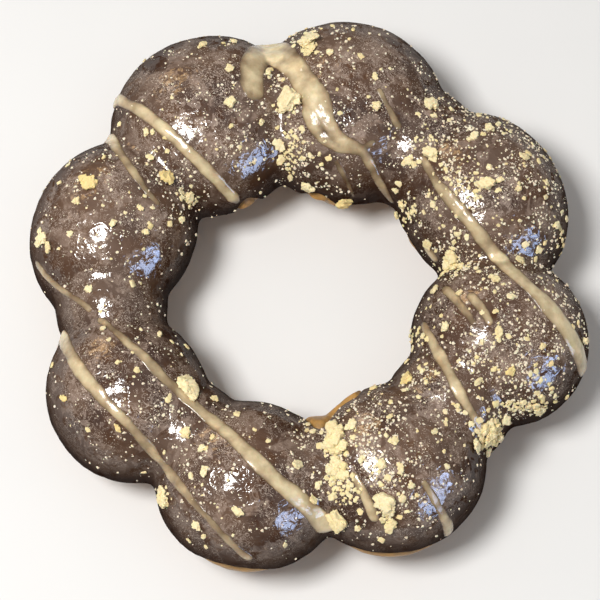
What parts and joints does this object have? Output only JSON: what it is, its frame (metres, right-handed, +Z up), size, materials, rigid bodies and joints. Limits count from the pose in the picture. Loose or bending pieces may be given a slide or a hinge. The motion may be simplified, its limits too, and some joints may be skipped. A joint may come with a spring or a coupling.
{
  "type": "mochi doughnut",
  "caption": "Ring of soft round dough balls, dipped in chocolate, striped with sauce and strewn with biscuit crumbs; lies flat.",
  "frame": {"origin": "on the surface the doughnut lies on, below the middle of its outline", "axes": "+Z up through the dipped side, +X to the right of the picture, +Y away from its viewer"},
  "size_m": [0.0904, 0.0927, 0.0253],
  "materials": {
    "dough": "golden brown fried dough, dull, finely pitted",
    "chocolate": "dark chocolate coat, half gloss, finely bumpy, with paler bloom",
    "sauce": "thin biscuit-coloured sauce, glossy and slightly clear",
    "crumb": "pale yellow biscuit crumb, dull and rough"
  },
  "bodies": {
    "root": {"dough": "dough", "chocolate_coat": "chocolate"}
  },
  "joints": []
}
